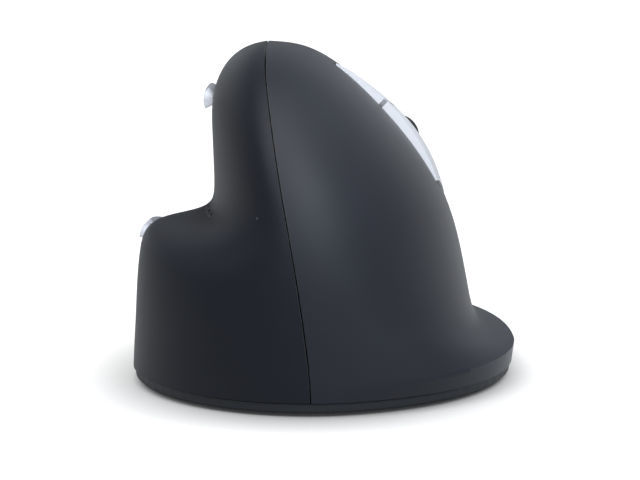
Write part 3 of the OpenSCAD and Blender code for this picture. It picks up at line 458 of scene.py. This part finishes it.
tip_r = 0.55
tip_flat = 0.35
tip_us = (185, 193.5, 202)
tip_w = 6.97
flatten = Matrix.Diagonal((1, 1, tip_flat, 1))
tip_sheet = bmesh.new()
for u in tip_us:
    face_on = body_normal(u, tip_w).to_track_quat("Z", "Y").to_matrix().to_4x4()
    at = Matrix.Translation((body_point(u, tip_w) - Vector((seam_gap / 2, 0, 0))) * mm)
    bmesh.ops.create_uvsphere(tip_sheet, u_segments=24, v_segments=12, radius=tip_r * mm,
                              matrix=at @ face_on @ flatten)
tip_data = bpy.data.meshes.new("indicator_hole_shade")
tip_sheet.to_mesh(tip_data)
tip_sheet.free()
tip_data.shade_smooth()
tip_data.materials.append(painted_hole_shade("painted_hole_shade"))
tips = bpy.data.objects.new("indicator_hole_shade", tip_data)
scene.collection.objects.link(tips)
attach(tips, "housing")


# Silver trim: a narrow plastic strip in satin silver paint, moulded to the outer edge of the thumb
# rest and clipped into a window of the thumb shell, where it stands a little proud.
def silver_paint(name, colour):
    finish = Finish(name)
    flake = finish.noise(5200, 2, 0.6)
    haze = finish.noise(70, 2, 0.5)
    return finish.surface({
        "Base Color": finish.blend(haze * 0.25 + flake * 0.15, colour, tone(243, 243, 249)),
        "Metallic": 0.05,
        "Roughness": 0.3 + flake * 0.1,
        "Normal": finish.bump(flake, 0.00001, 0.2),
        "Coat Weight": 0.15,
        "Coat Roughness": 0.2,
    })


trim_proud = 0.9
trim_gap = 0.15
trim_t = 2.4
trim_edge = 0.45


def raised(u, w):
    return trim_proud


# The trim and the thumb keys take a darker copy of the same silver paint: painted shade for the thumb side,
# which faces away from the lamps.
side_silver_shaded = silver_paint("side_silver_shaded", tone(168, 168, 176))
trim_sheet = body_sheet(steps(*trim_u, 44) + [trim_u[1]], steps(*trim_w, 12) + [trim_w[1]], -seam_gap / 2,
                        raised, gap=trim_gap)
trim = moulding("rest_trim", trim_sheet, trim_t, trim_edge, side_silver_shaded, "housing", "shelf_trim")


# Main buttons: two bright silver plates side by side on the finger slope, crowned across, with a
# slot between them for the wheel. Each turns on a pin under its palm end.
# The plates take a near-white copy of the same silver paint: painted light for plates that face the lamps.
button_silver_lit = silver_paint("button_silver_lit", tone(240, 240, 244))
split_w = 10.15
button_gap = 0.5
button_lift = 0.2
button_crown = 1.5
button_t = 1.8
button_edge = 0.4
wheel_u = 20
slot_half_w = 4
slot_half_l = 9.6
wheel_point = body_point(wheel_u, split_w)
wheel_out = body_normal(wheel_u, split_w)
wheel_run = body_point(wheel_u + 0.5, split_w) - body_point(wheel_u - 0.5, split_w)
wheel_run = (wheel_run - wheel_out * wheel_run.dot(wheel_out)).normalized()
wheel_side = wheel_run.cross(wheel_out)


def crown(u, w):
    return button_lift + button_crown * math.sin(math.pi * (w - panel_w[0]) / (panel_w[1] - panel_w[0]))


def main_button(name, low, high, node):
    us = steps(*panel_u, 64) + [panel_u[1]]
    ws = steps(low, high, 22) + [high]
    plate = body_sheet(us, ws, seam_gap / 2, crown, gap=button_gap)
    middle = (wheel_point + Vector((seam_gap / 2, 0, 0))) * mm
    half_width = slot_half_w * mm
    half_length = slot_half_l * mm
    for direction, reach in ((wheel_side, half_width), (wheel_run, half_length)):
        for way in (1, -1):
            whole = plate.verts[:] + plate.edges[:] + plate.faces[:]
            bmesh.ops.bisect_plane(plate, geom=whole, dist=0.0000001, plane_no=direction,
                                   plane_co=middle + direction * way * reach)
    slot = []
    for face in plate.faces:
        away = face.calc_center_median() - middle
        if abs(away.dot(wheel_side)) < half_width and abs(away.dot(wheel_run)) < half_length:
            slot.append(face)
    bmesh.ops.delete(plate, geom=slot, context="FACES")
    button = moulding(name, plate, button_t, button_edge, button_silver_lit, node, node)


main_button("upper_button", split_w, panel_w[1], "left_button")
main_button("lower_button", panel_w[0], split_w, "right_button")


# Thumb buttons: two plastic keys in the trim's silver paint, darkened like it as painted shade, one behind
# the other in a window of the thumb wall. Each is domed across and presses straight in on its switch.
key_proud = 1.9
key_shoulder = 0.3
key_t = 3.2
key_edge = 0.6


def dome(u, w):
    bulge = math.sin(math.pi * (w - thumb_w[0]) / (thumb_w[1] - thumb_w[0]))
    return key_proud * (key_shoulder + (1 - key_shoulder) * math.sqrt(max(0, bulge)))


for name, first, last, node in (("forward_key", thumb_u[0], thumb_u[1], "forward_button"),
                                ("back_key", thumb_u[1], thumb_u[2], "back_button")):
    key_sheet = body_sheet(steps(first, last, 26) + [last], steps(*thumb_w, 14) + [thumb_w[1]], -seam_gap / 2,
                           dome, gap=button_gap)
    key = moulding(name, key_sheet, key_t, key_edge, side_silver_shaded, node, node)


# Scroll wheel: a ribbed rubber tyre stretched over a moulded hub with spokes, turning on a steel axle.
# The pins, screws and battery springs are of the same plain steel.
def dress(finish, *names):
    for name in names:
        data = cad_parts[name].data
        data.materials.clear()
        data.materials.append(finish)


def moulded(name, colour, rough, grain_size=1800, depth=0.00002):
    finish = Finish(name)
    grain = finish.noise(grain_size, 3, 0.6)
    flow = finish.noise(60, 2)
    darker = tuple(0.8 * level for level in colour[:3]) + (1,)
    return finish.surface({
        "Base Color": finish.blend(flow, darker, colour),
        "Roughness": rough + grain * 0.12,
        "Normal": finish.bump(grain, depth, 0.4),
    })


def metal(name, colour, rough):
    finish = Finish(name)
    brushed = finish.noise(900, 4, 0.7)
    return finish.surface({
        "Base Color": finish.blend(brushed * 0.4, colour, tuple(0.75 * level for level in colour[:3]) + (1,)),
        "Metallic": 1.0,
        "Roughness": rough + brushed * 0.15,
        "Normal": finish.bump(brushed, 0.00001, 0.2),
    })


dress(moulded("tyre_rubber", tone(38, 39, 42), 0.6, 1400, 0.00004), "wheel_tyre")
dress(moulded("hub_plastic", tone(28, 28, 30), 0.35), "wheel_hub")
steel = metal("plain_steel", tone(190, 190, 192), 0.3)
dress(steel, "wheel_axle", "hinge_pin", "base_screws", "board_screws", "cell_springs")


# Base plate, battery door and feet: the dark plate under both shells, a little glossier than they
# are, the battery door that swings down out of it, and the four glide feet glued into shallow recesses.
base_plastic = moulded("base_plastic", tone(22, 26, 33), 0.34, 1600, 0.00002)
dress(base_plastic, "base_plate", "battery_door")
dress(moulded("foot_plastic", tone(46, 46, 48), 0.28, 900, 0.00001), "glide_feet")
dress(moulded("control_plastic", tone(92, 95, 104), 0.4), "dpi_button", "power_knob")


# Inside: green circuit boards, black switches and chips with their plungers, the grey moulded frame that
# carries them, the film-wrapped cells with brass contacts, and the receiver stored in its pocket.
def board_mask(name):
    finish = Finish(name)
    traces = finish.add("ShaderNodeTexBrick", {"offset": 0.35}, {
        "Vector": finish.place(), "Scale": 180, "Mortar Size": 0.03}, "Fac")
    weave = finish.noise(1200, 2)
    return finish.surface({
        "Base Color": finish.blend(traces, tone(22, 84, 44), tone(38, 118, 62)),
        "Roughness": 0.32 + weave * 0.1,
        "Normal": finish.bump(traces, 0.00002, 0.3),
    })


dress(board_mask("solder_mask"), "main_board", "finger_board", "thumb_board")
dress(moulded("frame_plastic", tone(70, 73, 80), 0.45), "inner_frame", "wheel_carrier", "wheel_posts")
dress(moulded("chip_plastic", tone(34, 34, 36), 0.4), "optical_sensor", "controller_chip", "left_switch",
      "right_switch", "wheel_switch", "forward_switch", "back_switch", "power_switch", "dpi_switch",
      "wheel_detector", "receiver_body")
dress(moulded("lamp_plastic", tone(232, 230, 212), 0.3), "indicator_lamps", "wheel_emitter")
dress(moulded("red_plunger_plastic", tone(190, 40, 44), 0.35), "left_plunger", "right_plunger")
dress(moulded("white_plunger_plastic", tone(226, 224, 214), 0.35), "wheel_plunger", "forward_plunger",
      "back_plunger", "dpi_plunger")
dress(moulded("cell_film", tone(78, 122, 176), 0.28), "inner_cell", "outer_cell")
dress(metal("contact_brass", tone(204, 170, 92), 0.28), "cell_contacts")
dress(metal("plug_steel", tone(206, 206, 208), 0.25), "receiver_plug")


def clear_plastic(name):
    finish = Finish(name)
    ripple = finish.noise(400, 2)
    return finish.surface({
        "Base Color": finish.blend(ripple, tone(232, 238, 244), tone(246, 248, 250)),
        "Roughness": 0.08 + ripple * 0.08,
        "Transmission Weight": 0.85,
        "IOR": 1.49,
    })


dress(clear_plastic("clear_plastic"), "sensor_lens", "light_guide")
